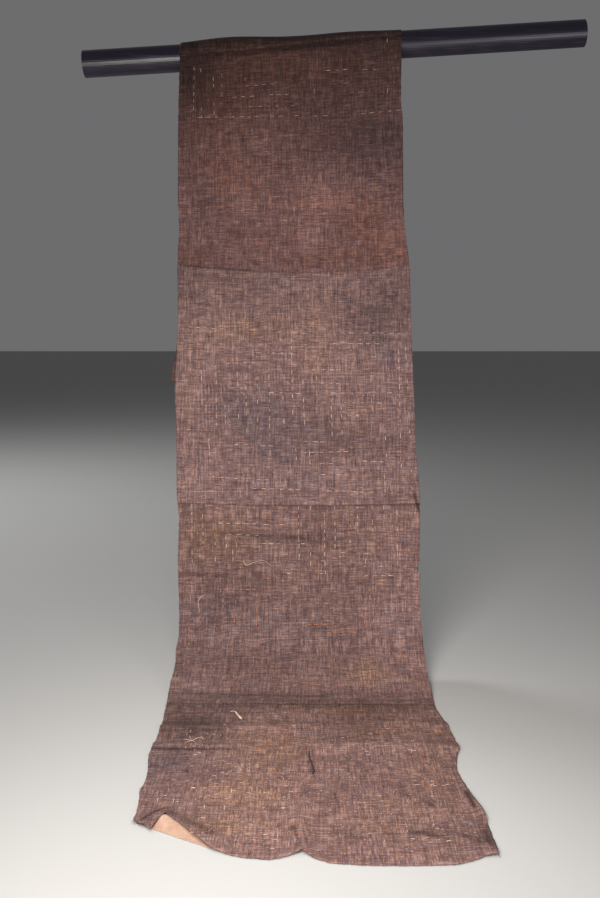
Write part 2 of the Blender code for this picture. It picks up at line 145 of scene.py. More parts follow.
# Stains, fades and painted light and shade: x, run, half width, half length, lighter (+) or darker (-),
# golden (+) or bluish (-). The first row is painted shade that darkens the cloth over the rod's crest, where
# little light falls; the rows that span nearly the whole width lay broad bands of painted light and shade
# along the strip
STAINS_AND_PAINTED_SHADE = (
    # First row: painted shade over the rod's crest, where little light falls.
    (-0.03, 0.00, 0.60, 0.150, -0.71, 0.2), (-0.10, 0.07, 0.10, 0.050, 0.12, 1.0),
    (0.05, 0.12, 0.12, 0.060, 0.04, 0.2), (-0.30, 0.10, 0.05, 0.100, -0.22, -0.1),
    (-0.18, 0.19, 0.06, 0.050, 0.00, 0.3), (-0.06, 0.30, 0.04, 0.045, 0.20, 0.0),
    (-0.20, 0.37, 0.07, 0.060, 0.14, 0.8), (-0.12, 0.41, 0.05, 0.030, 0.05, 0.4),
    (0.20, 0.29, 0.10, 0.080, -0.16, -0.6), (0.03, 0.35, 0.06, 0.040, -0.09, -0.3),
    (0.05, 0.46, 0.06, 0.055, 0.26, 0.4), (0.17, 0.51, 0.05, 0.080, -0.04, 0.8),
    (0.10, 0.52, 0.03, 0.040, -0.14, 0.3), (-0.25, 0.46, 0.05, 0.050, -0.20, -0.3),
    (-0.23, 0.55, 0.05, 0.050, -0.14, -0.4), (-0.10, 0.51, 0.08, 0.060, 0.06, 0.1),
    (0.02, 0.56, 0.030, 0.025, 0.20, 0.0), (-0.29, 0.61, 0.04, 0.030, -0.10, 0.6),
    (-0.06, 0.625, 0.15, 0.018, -0.12, 0.1), (0.24, 0.58, 0.05, 0.050, 0.06, 0.7),
    (0.07, 0.67, 0.05, 0.025, 0.22, 0.0), (-0.06, 0.68, 0.06, 0.030, 0.06, -0.3),
    (-0.22, 0.74, 0.09, 0.030, -0.10, 0.0), (-0.14, 0.80, 0.16, 0.045, 0.12, 0.6),
    (0.20, 0.78, 0.08, 0.080, -0.22, -0.4), (0.24, 0.87, 0.04, 0.040, 0.00, -0.6),
    (0.04, 0.87, 0.05, 0.050, 0.08, 0.2), (-0.22, 0.88, 0.06, 0.040, 0.06, 0.0),
    (-0.19, 0.98, 0.04, 0.030, -0.14, -0.2), (0.00, 0.92, 0.025, 0.025, -0.12, 0.0),
    (-0.08, 1.05, 0.14, 0.070, -0.20, -0.5), (0.04, 1.05, 0.05, 0.030, -0.10, -0.1),
    (-0.29, 1.04, 0.05, 0.060, 0.24, 0.3), (0.27, 1.03, 0.04, 0.030, 0.16, -0.2),
    (0.13, 1.02, 0.05, 0.020, 0.06, 0.2), (0.15, 1.10, 0.12, 0.030, -0.09, -0.1),
    (-0.05, 1.13, 0.10, 0.030, -0.10, -0.5), (-0.26, 1.19, 0.05, 0.020, 0.15, 0.2),
    (-0.10, 1.21, 0.08, 0.020, 0.12, -0.5), (0.03, 1.20, 0.06, 0.030, -0.05, -0.6),
    (-0.22, 1.36, 0.11, 0.070, 0.04, 0.8), (0.00, 1.355, 0.12, 0.014, -0.22, 0.0),
    (0.22, 1.25, 0.04, 0.015, -0.18, 0.0), (0.29, 1.295, 0.03, 0.020, 0.18, 0.3),
    (0.10, 1.30, 0.04, 0.040, 0.00, 0.2), (0.25, 1.37, 0.06, 0.050, 0.12, 0.0),
    (-0.02, 1.42, 0.06, 0.030, -0.10, -0.4), (0.20, 1.43, 0.04, 0.020, 0.05, -0.5),
    (0.15, 1.48, 0.03, 0.030, -0.16, 0.0), (-0.14, 1.515, 0.11, 0.020, -0.22, 0.0),
    (-0.23, 1.56, 0.03, 0.060, -0.12, -0.2), (-0.13, 1.57, 0.06, 0.020, -0.12, -0.5),
    (-0.30, 1.55, 0.02, 0.050, 0.05, -0.3), (-0.05, 1.57, 0.012, 0.100, 0.12, -0.2),
    (0.25, 1.57, 0.06, 0.050, 0.15, -0.3), (0.18, 1.55, 0.02, 0.030, 0.12, 0.2),
    (0.17, 1.70, 0.04, 0.050, 0.10, 0.2), (-0.17, 1.69, 0.10, 0.020, -0.12, 0.0),
    (0.03, 1.77, 0.025, 0.020, 0.22, 0.6), (0.17, 1.75, 0.03, 0.040, 0.14, 0.2),
    (0.02, 1.75, 0.40, 0.040, 0.22, 0.1), (-0.27, 1.76, 0.03, 0.040, 0.08, -0.5),
    (-0.09, 1.77, 0.05, 0.030, 0.02, -0.5), (-0.18, 1.825, 0.06, 0.012, -0.25, -0.2),
    (0.00, 1.874, 0.40, 0.016, -0.30, 0.3), (0.13, 1.91, 0.07, 0.040, -0.12, 0.5),
    (-0.24, 1.98, 0.08, 0.060, -0.26, -0.2), (0.24, 1.96, 0.04, 0.025, 0.20, 0.0),
    (0.16, 2.03, 0.05, 0.020, -0.14, 0.4), (0.30, 2.03, 0.03, 0.030, 0.00, 0.5),
    (-0.06, 2.09, 0.08, 0.100, 0.10, 0.9), (0.22, 2.10, 0.05, 0.030, 0.20, -0.2),
    (-0.26, 2.16, 0.07, 0.050, -0.12, -0.8), (0.02, 2.19, 0.02, 0.060, -0.12, 0.1),
    (0.10, 2.16, 0.06, 0.050, -0.08, 0.0), (-0.30, 2.25, 0.03, 0.080, -0.12, -0.6),
    (-0.18, 2.24, 0.03, 0.030, -0.10, -0.2), (-0.15, 2.31, 0.03, 0.030, 0.14, 0.1),
    (-0.11, 2.31, 0.09, 0.080, 0.08, 0.8), (0.19, 2.28, 0.02, 0.040, -0.12, -0.2),
    (0.25, 2.24, 0.04, 0.030, 0.08, 0.1), (0.07, 2.30, 0.02, 0.040, -0.06, 0.1),
    (-0.15, 2.44, 0.07, 0.030, 0.08, 0.9), (0.15, 2.45, 0.03, 0.020, 0.05, 0.4),
    (0.22, 2.447, 0.025, 0.010, -0.20, 0.2), (-0.277, 2.420, 0.010, 0.018, -0.35, -0.4),
    (0.24, 2.465, 0.02, 0.010, 0.04, 0.6), (0.35, 2.46, 0.015, 0.040, -0.15, -0.3),
    (-0.20, 0.16, 0.10, 0.070, 0.00, 0.5), (0.12, 0.13, 0.14, 0.070, 0.00, 0.2),
    (-0.24, 0.26, 0.08, 0.060, 0.03, 0.4), (0.00, 0.21, 0.30, 0.070, 0.02, 0.0),
    (0.22, 0.38, 0.08, 0.060, -0.10, -0.3), (0.10, 0.61, 0.22, 0.020, -0.06, 0.5),
    (0.05, 0.74, 0.07, 0.060, 0.10, 0.4), (-0.29, 0.93, 0.03, 0.080, 0.06, 0.4),
    (-0.12, 1.00, 0.10, 0.080, -0.04, -0.4), (0.13, 1.02, 0.08, 0.035, 0.10, 0.3),
    (0.04, 0.90, 0.05, 0.050, 0.06, 0.4), (0.16, 1.33, 0.10, 0.060, 0.03, 0.3),
    (-0.22, 1.58, 0.10, 0.100, -0.06, -0.5), (-0.02, 1.60, 0.10, 0.080, 0.00, -0.4),
    (0.26, 1.57, 0.06, 0.080, 0.08, -0.3), (-0.12, 1.48, 0.15, 0.020, -0.08, 0.3),
    (0.16, 1.73, 0.06, 0.050, 0.06, 0.5), (0.10, 1.89, 0.26, 0.030, -0.06, 0.3),
    (-0.27, 1.98, 0.07, 0.050, -0.08, 0.4), (0.18, 2.01, 0.10, 0.040, -0.08, 0.4),
    (0.28, 2.20, 0.08, 0.100, 0.02, 0.4), (0.00, 0.48, 0.50, 0.120, 0.12, 0.0),
    (0.00, 0.86, 0.50, 0.070, 0.09, 0.0), (0.00, 0.17, 0.50, 0.080, -0.15, 0.1),
    (0.32, 2.48, 0.09, 0.050, -0.24, 0.0), (-0.28, 2.00, 0.12, 0.220, -0.22, 0.0),
    (0.17, 0.33, 0.13, 0.070, -0.15, 0.0), (0.31, 1.66, 0.12, 0.240, 0.28, 0.0),
    (-0.28, 0.24, 0.09, 0.140, -0.16, 0.0), (-0.27, 0.66, 0.08, 0.050, -0.16, 0.0),
    (0.10, 1.09, 0.09, 0.060, -0.12, 0.0), (0.04, 0.09, 0.12, 0.060, 0.14, 0.0),
    (0.00, 1.965, 0.40, 0.030, -0.09, 0.3), (-0.16, 2.05, 0.07, 0.040, -0.14, 0.1),
    (0.05, 2.44, 0.16, 0.060, 0.00, 0.3), (0.20, 2.36, 0.14, 0.070, 0.02, 0.4),
    (0.00, 2.21, 0.45, 0.080, 0.05, 0.1),
)

# How dark the line along each seam is, from the left edge to the right: painted shadow with dirt under the
# lapped edge, and a fainter painted highlight on the ridge above it
BACK_DIRT_AND_SHADE = (0.30, 0.30, 0.30, 0.30, 0.30)
ROD_DIRT_AND_SHADE = (0.30, 0.42, 0.70, 0.65, 0.40)
UPPER_DIRT_AND_SHADE = (0.36, 0.42, 0.28, 0.12, 0.05)
MIDDLE_DIRT_AND_SHADE = (0.04, 0.06, 0.12, 0.24, 0.32)
LOWER_DIRT_AND_SHADE = (0.20, 0.30, 0.50, 0.45, 0.16)

# Sharp creases: x and run where each starts and ends, half its width, its depth, which also sets how much
# painted shade lies in it
CREASES = (
    (-0.315, 0.062, -0.160, 0.066, 0.0055, 0.0006),
    (-0.160, 0.066, 0.050, 0.056, 0.0055, 0.0012),
    (0.050, 0.056, 0.262, 0.046, 0.0055, 0.0012),
    (-0.220, 1.338, 0.000, 1.352, 0.0045, 0.0012),
    (0.000, 1.352, 0.150, 1.392, 0.0045, 0.0010),
    (-0.316, 1.447, -0.220, 1.453, 0.0045, 0.0013),
    (-0.220, 1.453, -0.070, 1.465, 0.0045, 0.0010),
    (0.3000, 1.234, 0.3140, 1.282, 0.0042, 0.0030),
    (-0.316, 2.108, -0.130, 2.113, 0.0055, 0.0021),
    (-0.310, 2.020, -0.180, 2.016, 0.0045, 0.0010),
    (-0.300, 1.806, 0.060, 1.822, 0.0060, 0.0012),
    (0.228, 2.322, 0.252, 2.356, 0.0045, 0.0014),
    (0.246, 2.318, 0.262, 2.345, 0.0035, 0.0010),
    (0.3215, 2.312, 0.3280, 2.366, 0.0040, 0.0032),
    (0.330, 2.372, 0.338, 2.500, 0.0050, 0.0012),
    (0.202, 2.452, 0.250, 2.466, 0.0070, 0.0018),
    (0.242, 2.347, 0.256, 2.355, 0.0032, 0.0012),
    (0.060, 2.447, 0.092, 2.443, 0.0040, 0.0012),
    (0.128, 2.452, 0.162, 2.460, 0.0050, 0.0012),
    (0.067, 2.302, 0.074, 2.362, 0.0032, 0.0012),
    (-0.300, 0.660, 0.000, 0.678, 0.0040, 0.0006),
    (0.060, 0.214, 0.250, 0.206, 0.0040, 0.0006),
    (0.080, 0.287, 0.262, 0.279, 0.0040, 0.0006),
    (-0.2920, 2.4190, -0.2550, 2.3720, 0.0034, 0.0030),
    (-0.245, 2.388, -0.160, 2.470, 0.0100, 0.0016),
    (0.000, 2.508, -0.012, 2.440, 0.0050, 0.0014),
)

# How far along the run the strip lies on the rod and from where on the floor, and how softly that starts
ON_ROD = 0.05
ON_FLOOR = 1.72
EASE = 0.10

# Grid of the sheets, and how their lower edges are worn and turned
CELL = 0.0045
FINE_CELL = 0.0037
USUAL_WIDTH = 0.62
WORN_EDGE = 0.0009
WORN_LENGTH = 0.0060
HEM_RISE = 0.0006
HEM_DEPTH = 0.009
HEM_CLIMB = 0.003

# Running stitches
STITCH_LENGTH = 0.0122
STITCH_PITCH = 0.0212
RUSTY_PITCH = 0.018
STITCH_WIDTH = 0.0018
FINE_STITCH_WIDTH = 0.0014
STITCH_RISE = 0.0006
UPRIGHT = (0.0, 1.0)
SIDEWAYS = (1.0, 0.0)

# Stitches of the seams, frayed threads of the hem, and fibres of the side edges
SEAM_PITCH = 0.0150
SEAM_THREAD = 0.0007
FRAYED_PLACES = 420
FIBRE_PITCH = 0.0052
FIBRE_START = -0.93
FIBRE_END = 2.39
BARE_SHARE = 0.42

# How much painted shade darkens a crease for each metre of its depth
PAINTED_CREASE_SHADE = 260

# Thread to thread in the two weaves, and the colours that they share
RAFFIA_PITCH = 0.0026
BACKING_PITCH = 0.0022
DARKEST = (0.030, 0.016, 0.017)
PALE_SLUB = (0.50, 0.36, 0.29, 1.0)
RUSTY_FLECK = (0.42, 0.13, 0.055, 1.0)
ORANGE = (1.09, 0.98, 0.88, 1.0)
GOLDEN = (1.04, 1.02, 0.85, 1.0)

# Studio, and its lamps: name, place, aim, size, watts, colour, spread in degrees
FLOOR_COLOUR = (0.36, 0.355, 0.345, 1.0)
SKY_COLOUR = (0.80, 0.80, 0.82, 1.0)
SKY_STRENGTH = 0.19
LAMPS = (
    ("key", (-0.52, -1.78, 0.95), (-0.09, 0.20, 0.32), 0.9, 25.5, (1.0, 0.95, 0.90), 136),
    ("fill", (1.25, -1.90, 0.70), (-0.09, 0.20, 0.40), 1.3, 14.5, (0.955, 0.95, 0.99), 143),
    ("low_top", (-0.30, -1.05, 1.25), (-0.09, -0.25, 0.0), 0.8, 11.5, (1.0, 0.97, 0.94), 128),
    ("behind", (-2.6, 2.6, 3.0), (-1.2, 1.6, 0.0), 1.4, 95.0, (0.97, 0.98, 1.0), 180),
)

chance = random.Random(41)


class Number:
    """A value in a material's maths: an operator on it adds a Math node."""

    def __init__(self, finish, socket):
        self.finish = finish
        self.socket = socket

    def maths(self, operation, first, second):
        return self.finish.number("ShaderNodeMath", {"operation": operation}, {0: first, 1: second})

    def __add__(self, other):
        return self.maths("ADD", self, other)

    def __sub__(self, other):
        return self.maths("SUBTRACT", self, other)

    def __mul__(self, other):
        return self.maths("MULTIPLY", self, other)

    def __rsub__(self, other):
        return self.maths("SUBTRACT", other, self)

    __radd__ = __add__
    __rmul__ = __mul__


class Finish:
    """A material that is built up node by node."""

    def __init__(self, name):
        self.material = bpy.data.materials.new(name)
        self.material.use_nodes = True
        self.tree = self.material.node_tree
        self.shader = self.tree.nodes["Principled BSDF"]

    def node(self, kind, settings=None, inputs=None):
        made = self.tree.nodes.new(kind)
        for name, value in (settings or {}).items():
            setattr(made, name, value)
        self.feed(made, inputs or {})
        return made

    def feed(self, made, inputs):
        for name, value in inputs.items():
            socket = made.inputs[name]
            if isinstance(value, Number):
                value = value.socket
            if isinstance(value, bpy.types.NodeSocket):
                self.tree.links.new(value, socket)
            else:
                socket.default_value = value

    def number(self, kind, settings=None, inputs=None):
        return Number(self, self.node(kind, settings, inputs).outputs[0])

    def mix(self, share, first, second, blend="MIX"):
        settings = {"data_type": "RGBA", "blend_type": blend}
        return self.node("ShaderNodeMix", settings, {0: share, 6: first, 7: second}).outputs[2]

    def tint(self, share, colour, shade):
        return self.mix(share, colour, shade, "MULTIPLY")

    def place(self, name):
        return self.node("ShaderNodeUVMap", {"uv_map": name}).outputs[0]

    def cloud(self, place, scale, detail=2, shift=(0, 0, 0)):
        """Soft noise about a half, as fine as the scale says."""
        settings = {"operation": "MULTIPLY_ADD"}
        scaled = self.node("ShaderNodeVectorMath", settings, {0: place, 1: scale, 2: shift}).outputs[0]
        inputs = {"Vector": scaled, "Scale": 1, "Detail": detail, "Roughness": 0.55, "Distortion": 0}
        return self.number("ShaderNodeTexNoise", {}, inputs)

    def step(self, value, low, high):
        """Nothing below low, one above high, and a soft rise between them."""
        settings = {"interpolation_type": "SMOOTHSTEP"}
        return self.number("ShaderNodeMapRange", settings, {0: value, 1: low, 2: high, 3: 0.0, 4: 1.0})

    def attribute(self, name):
        return self.node("ShaderNodeAttribute", {"attribute_name": name}).outputs["Fac"]

    def lattice(self, place, pitch):
        """Over and under in a plain weave, from -1 to 1: one wave across times one wave along."""
        axes = self.node("ShaderNodeSeparateXYZ", {}, {0: place}).outputs
        turn = 2 * math.pi / pitch
        waves = [self.number("ShaderNodeMath", {"operation": "SINE"}, {0: Number(self, axes[i]) * turn})
                 for i in (0, 1)]
        return waves[0] * waves[1]

    def bump(self, strength, distance, height):
        inputs = {"Strength": strength, "Distance": distance, "Height": height}
        return self.node("ShaderNodeBump", {}, inputs).outputs[0]

    def ramp(self, value, stops):
        made = self.node("ShaderNodeValToRGB", {}, {0: value})
        points = made.color_ramp.elements
        while len(points) < len(stops):
            points.new(0.5)
        for point, (place, colour) in zip(points, stops):
            point.position = place
            point.color = (*colour, 1.0)
        return made.outputs[0]

    def surface(self, **inputs):
        self.feed(self.shader, {name.replace("_", " "): value for name, value in inputs.items()})
        return self.material


def smooth_step(value):
    part = np.clip(value, 0.0, 1.0)
    return part * part * (3 - 2 * part)


def smooth_curve(table, first=None, last=None):
    """A curve through the table's points that never swings past them."""
    knots = np.array([row[0] for row in table])
    values = np.array([row[1] for row in table])
    steps = np.diff(knots)
    rises = np.diff(values) / steps
    slopes = np.zeros(len(knots))
    slopes[0] = rises[0] if first is None else first
    slopes[-1] = rises[-1] if last is None else last
    for i in range(1, len(knots) - 1):
        if rises[i - 1] * rises[i] > 0:
            near = 2 * steps[i] + steps[i - 1]
            far = steps[i] + 2 * steps[i - 1]
            slopes[i] = (near + far) / (near / rises[i - 1] + far / rises[i])

    def value_at(place):
        place = np.asarray(place, float)
        index = np.clip(np.searchsorted(knots, place) - 1, 0, len(steps) - 1)
        step = steps[index]
        part = np.clip((place - knots[index]) / step, 0.0, 1.0)
        rest = 1 - part
        ends = rest * rest * (1 + 2 * part) * values[index] + part * part * (3 - 2 * part) * values[index + 1]
        return ends + part * rest * step * (rest * slopes[index] - part * slopes[index + 1])

    return value_at


def hem(part):
    return np.interp(part, *zip(*HEM))


def seam_line(ends):
    return smooth_curve(list(zip(np.linspace(0, 1, len(ends)), ends)))


def spine_table():
    """Run, forward, height and the unit direction down the strip, closest together where it bends."""
    places = np.r_[0.0, np.cumsum(np.hypot(*np.diff(np.array(FALL), axis=0).T))]
    forward_at = smooth_curve([(p, row[0]) for p, row in zip(places, FALL)], 0.0, 1.0)
    height_at = smooth_curve([(p, row[1]) for p, row in zip(places, FALL)], -1.0, 0.0)
    fine = np.linspace(0.0, places[-1], 1500)
    fall = np.stack([forward_at(fine), height_at(fine)])
    fall_run = QUARTER + np.r_[0.0, np.cumsum(np.hypot(*np.diff(fall, axis=1)))]
    angles = np.linspace(math.pi, 0.0, 120)
    crest = np.stack([BEND * np.cos(angles), ROD_HEIGHT + BEND * np.sin(angles)])
    crest_run = (math.pi / 2 - angles) * BEND
    back_run = np.linspace(-1.0, -QUARTER, 60)
    back = np.stack([np.full(60, -BEND), ROD_HEIGHT + back_run + QUARTER])
    floor_run = np.linspace(fall_run[-1], fall_run[-1] + 0.8, 60)
    floor = np.stack([FALL[-1][0] + floor_run - fall_run[-1], np.full(60, FALL[-1][1])])
    runs = np.concatenate([back_run[:-1], crest_run[:-1], fall_run[:-1], floor_run])
    line = np.concatenate([back[:, :-1], crest[:, :-1], fall[:, :-1], floor], axis=1)
    way = np.gradient(line, runs, axis=1)
    way /= np.hypot(*way)
    return runs, line[0], line[1], way[0], way[1]


SPINE = spine_table()
left_table = smooth_curve(LEFT_EDGE)
right_table = smooth_curve(RIGHT_EDGE)


def ripple(first, second, seed):
    """Smooth noise from -1 to 1 at each pair of coordinates."""
    flat_first = np.ravel(first)
    flat_second = np.ravel(second)
    values = [noise.noise(Vector((a, b, seed))) for a, b in zip(flat_first, flat_second)]
    return np.array(values).reshape(np.shape(first))


def line_distance(x, run, row):
    """Distance from a segment's line, as the tables give it."""
    x_start, run_start, x_end, run_end = row
    span_x = x_end - x_start
    span_run = run_end - run_start
    part = ((x - x_start) * span_x + (run - run_start) * span_run) / (span_x ** 2 + span_run ** 2)
    part = np.clip(part, 0.0, 1.0)
    return np.hypot(x - x_start - part * span_x, run - run_start - part * span_run)


def ridges(x, run, table):
    """The height of soft ridges, one along each line of the table."""
    total = np.zeros(np.shape(x))
    for *row, half_width, height in table:
        total += height * np.exp(-(line_distance(x, run, row) / half_width) ** 2)
    return total


def relief(x, run):
    """How far the soft folds lift the sheet off its spine."""
    return ridges(x, run, FOLDS)


def crown(x, run):
    """How far the cloth stands off the rod's crest."""
    total = np.zeros(np.shape(x))
    for x_middle, half_width, height in CROWN:
        total += height * np.exp(-((x - x_middle) / half_width) ** 2)
    return total * np.exp(-(run / CROWN_LENGTH) ** 2)


def creases(x, run):
    """How deep the sharp creases go."""
    return ridges(x, run, CREASES)


def crinkle(x, run):
    """Small unevenness of a hand-woven sheet: never down into the rod or the floor."""
    wide = ripple(x * 17, run * 30, 3.1) * 0.0010
    small = ripple(x * 45, run * 120, 9.4) * 0.00045 + ripple(x * 130, run * 60, 5.2) * 0.0003
    on_floor = smooth_step((run - ON_FLOOR) / EASE)
    on_rod = 1 - smooth_step((np.abs(run) - ON_ROD) / EASE)
    held = np.maximum(on_floor, on_rod)
    free = wide + small - creases(x, run)
    lying = np.maximum(wide + small, 0.0) * (1 - on_rod) + 0.3 * creases(x, run) * on_floor
    return free * (1 - held) + lying * held


def points_on(x, run, out):
    """Where the strip's places lie, out from the middle of the sheet toward its face."""
    runs, forwards, heights, ways_forward, ways_up = SPINE
    forward = np.interp(run, runs, forwards)
    height = np.interp(run, runs, heights)
    along_forward = np.interp(run, runs, ways_forward)
    along_up = np.interp(run, runs, ways_up)
    lift = out + relief(x, run) + crinkle(x, run) + crown(x, run)
    low, high = TILT_FADE
    tilt = math.tan(ROD_TILT) * smooth_step((height - low) / (high - low))
    return np.stack([
        STRIP_X + x,
        ROD_Y - forward + along_up * lift,
        height + along_forward * lift + x * tilt,
    ], axis=-1)


def uneven(line, place, *waves):
    """A line with waves along it, each given by how fine it is, its seed and its height."""
    for fineness, seed, height in waves:
        line = line + ripple(place * fineness, place * 0, seed) * height
    return line


def left_edge(run):
    return uneven(left_table(run), run, (55, 1.7, 0.0011), (160, 4.4, 0.0006))


def right_edge(run):
    return uneven(right_table(run), run, (50, 8.3, 0.0011), (150, 2.6, 0.0006))


def across(part, run):
    left = left_edge(run)
    return left + (right_edge(run) - left) * part


def shades(x, run, seams):
    """How light the cloth is and how golden or bluish: stains, broad painted light and shade, painted shade
    in the creases, and painted shadow with dirt under its seams with a painted highlight above them.
    """
    tone = np.ones(np.shape(x))
    warmth = np.zeros(np.shape(x))
    for x_middle, run_middle, half_width, half_length, lighter, golden in STAINS_AND_PAINTED_SHADE:
        near = np.exp(-((x - x_middle) / half_width) ** 2 - ((run - run_middle) / half_length) ** 2)
        tone += lighter * near
        warmth += golden * near
    # Painted shade along the creases.
    tone -= PAINTED_CREASE_SHADE * creases(x, run)
    inward = np.minimum(x - left_table(run), right_table(run) - x)
    strength = 0.6 + 0.8 * ripple(x * 3, run * 9, 6.1)
    pale_rim = 0.16 * np.exp(-(inward / 0.0035) ** 2)
    dark_band = 0.07 * np.exp(-((inward - 0.010) / 0.005) ** 2)
    tone += strength * (pale_rim - dark_band)
    part = np.clip((x + 0.32) / 0.64, 0.0, 1.0)
    for seam, dirt_and_shade in seams:
        patchy = 1 + 0.7 * ripple(x * 26, run * 4, 7.7)
        depth = np.interp(part, np.linspace(0, 1, len(dirt_and_shade)), dirt_and_shade) * patchy
        # Painted shadow with dirt under each lapped edge, and a fainter painted highlight on the ridge 5 mm
        # above it.
        below = (run - seam(part) - HALF_LAP - 0.0010) / 0.0030
        tone -= depth * np.exp(-below * below)
        above = (run - seam(part) - HALF_LAP + 0.0050) / 0.0030
        tone += 0.30 * depth * np.exp(-above * above)
    return np.clip(tone, 0.25, 1.7), np.clip(warmth, -1.0, 1.0)


def add_places(data, x, run):
    """The weave's own coordinates, in metres, as a UV map."""
    layer = data.uv_layers.new(name="flat")
    layer.active = True
    weave = data.uv_layers.new(name="weave", do_init=False)
    corners = np.empty(len(data.loops), int)
    data.loops.foreach_get("vertex_index", corners)
    places = np.stack([np.ravel(x)[corners], np.ravel(run)[corners]], axis=-1)
    weave.data.foreach_set("uv", np.ravel(places))
    layer.data.foreach_set("uv", np.ravel(places))


def make_object(name, vertices, faces, finish):
    data = bpy.data.meshes.new(name)
    data.from_pydata(vertices, [], faces)
    data.materials.append(finish)
    data.polygons.foreach_set("use_smooth", [True] * len(faces))
    data.update()
    made = bpy.data.objects.new(name, data)
    bpy.context.collection.objects.link(made)
    return made


def sheet_object(name, face, back, x, run, shade, finish):
    """A closed sheet between two grids of points."""
    rows, columns = np.shape(x)
    count = rows * columns
    index = np.arange(count).reshape(rows, columns)
    cells = np.stack([index[:-1, :-1], index[1:, :-1], index[1:, 1:], index[:-1, 1:]], axis=-1)
    cells = cells.reshape(-1, 4)
    rim = np.concatenate([index[0, :-1], index[:-1, -1], index[-1, :0:-1], index[:0:-1, 0]])
    following = np.roll(rim, -1)
    walls = np.stack([rim, following, following + count, rim + count], axis=-1)
    faces = np.concatenate([cells, cells[:, ::-1] + count, walls])
    vertices = np.concatenate([face.reshape(-1, 3), back.reshape(-1, 3)])
    made = make_object(name, vertices.tolist(), faces.tolist(), finish)
    add_places(made.data, np.tile(x.ravel(), 2), np.tile(run.ravel(), 2))
    for layer, values in zip(("tone", "warmth"), shade):
        attribute = made.data.attributes.new(layer, "FLOAT", "POINT")
        attribute.data.foreach_set("value", np.tile(values.ravel(), 2))
    return made


def panel(name, upper, lower, finish, seams, laps_over=True, tucked=True, hem_rise=0.0, cell=CELL):
    """A panel between two lines of the strip, with its lower edge over the next panel's upper edge."""
    start = upper(0.5) - (HALF_LAP if tucked else 0.0)
    end = lower(0.5) + (HALF_LAP if laps_over else 0.0)
    row_count = round(float(end - start) / cell)
    column_count = round(USUAL_WIDTH / cell)
    columns = np.linspace(0, 1, column_count + 1)
    if not laps_over:
        columns = np.unique(np.r_[columns, [row[0] for row in HEM]])
    part, share = np.meshgrid(columns, np.linspace(0, 1, row_count + 1))
    top = upper(part) - (HALF_LAP if tucked else 0.0)
    bottom = lower(part) + (HALF_LAP if laps_over else 0.0)
    if not laps_over:
        bottom = uneven(bottom, part, (60, 6.6, 0.0016), (190, 1.9, 0.0009))
    run = top + (bottom - top) * share
    x = across(part, run)
    out = np.zeros(np.shape(x))
    if laps_over:
        out = (SHEET + CLEAR) * smooth_step((run - (lower(part) - HALF_LAP - CLIMB)) / CLIMB)
    if hem_rise:
        out = out + hem_rise * smooth_step((run - (bottom - HEM_DEPTH)) / HEM_CLIMB)
    worn = WORN_EDGE * smooth_step((run - (bottom - WORN_LENGTH)) / WORN_LENGTH)
    face = points_on(x, run, out + SHEET / 2 - worn)
    back = points_on(x, run, out - SHEET / 2)
    back[..., 2] = np.maximum(back[..., 2], 0.0)
    made = sheet_object(name, face, back, x, run, shades(x, run, seams), finish)
    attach(made, "root")
    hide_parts(name)
    return made


class Skein:
    """Many short strands joined in one piece."""

    def __init__(self, sides=5):
        self.sides = sides
        self.vertices = []
        self.faces = []

    def strand(self, points, up, widths, flatness=0.7):
        """A closed strand along the points. up is off the cloth, and widths are its width at each point."""
        points = [Vector(point) for point in points]
        first = len(self.vertices)
        for i, point in enumerate(points):
            along = (points[min(i + 1, len(points) - 1)] - points[max(i - 1, 0)]).normalized()
            side = along.cross(up).normalized()
            lift = side.cross(along)
            for k in range(self.sides):
                angle = 2 * math.pi * k / self.sides
                reach = side * math.cos(angle) + lift * math.sin(angle) * flatness
                self.vertices.append(point + reach * widths[i] / 2)
        for i in range(len(points) - 1):
            for k in range(self.sides):
                near = first + i * self.sides + k
                beside = first + i * self.sides + (k + 1) % self.sides
                self.faces.append((near, beside, beside + self.sides, near + self.sides))
        last = first + (len(points) - 1) * self.sides
        self.faces.append(tuple(range(first + self.sides - 1, first - 1, -1)))
        self.faces.append(tuple(range(last, last + self.sides)))

    def piece(self, name, finish):
        made = make_object(name, [tuple(v) for v in self.vertices], self.faces, finish)
        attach(made, "root")
        return made


def on_face(x, run, rise):
    """One place on the face of the cloth."""
    return Vector(points_on(np.array([x]), np.array([run]), np.array([SHEET / 2 + rise]))[0])


def off_face(run):
    """The unit direction off the face of the cloth."""
    runs, _, _, ways_forward, ways_up = SPINE
    return Vector((0.0, np.interp(run, runs, ways_up), np.interp(run, runs, ways_forward)))


def stitch(skein, x, run, direction, length, width=STITCH_WIDTH, rise=STITCH_RISE):
    """One raised stitch that dives into the cloth at both ends."""
    way_x, way_run = direction
    points = []
    for part, height in ((-0.5, -0.4), (-0.3, 0.75), (0.0, 1.0), (0.3, 0.75), (0.5, -0.4)):
        points.append(on_face(x + way_x * part * length, run + way_run * part * length, rise * height))
    skein.strand(points, off_face(run), [width * s for s in (0.6, 0.95, 1.0, 0.95, 0.6)])


def running_line(skein, start, end, pitch=STITCH_PITCH, skip=0.12, wander=0.0012, width=STITCH_WIDTH):
    """Running stitches by hand from one place to another: uneven, and here and there one is lost."""
    span = math.hypot(end[0] - start[0], end[1] - start[1])
    direction = ((end[0] - start[0]) / span, (end[1] - start[1]) / span)
    distance = pitch * 0.5
    drift = chance.uniform(-1, 1)
    while distance < span:
        drift = max(-1.0, min(1.0, drift + chance.uniform(-0.5, 0.5)))
        length = STITCH_LENGTH * chance.uniform(0.7, 1.25)
        x = start[0] + direction[0] * distance - direction[1] * drift * wander
        run = start[1] + direction[1] * distance + direction[0] * drift * wander
        lost = chance.random() < skip
        if not lost:
            stitch(skein, x, run, direction, length, width * chance.uniform(0.55, 1.15))
        distance += pitch * chance.uniform(0.85, 1.2)


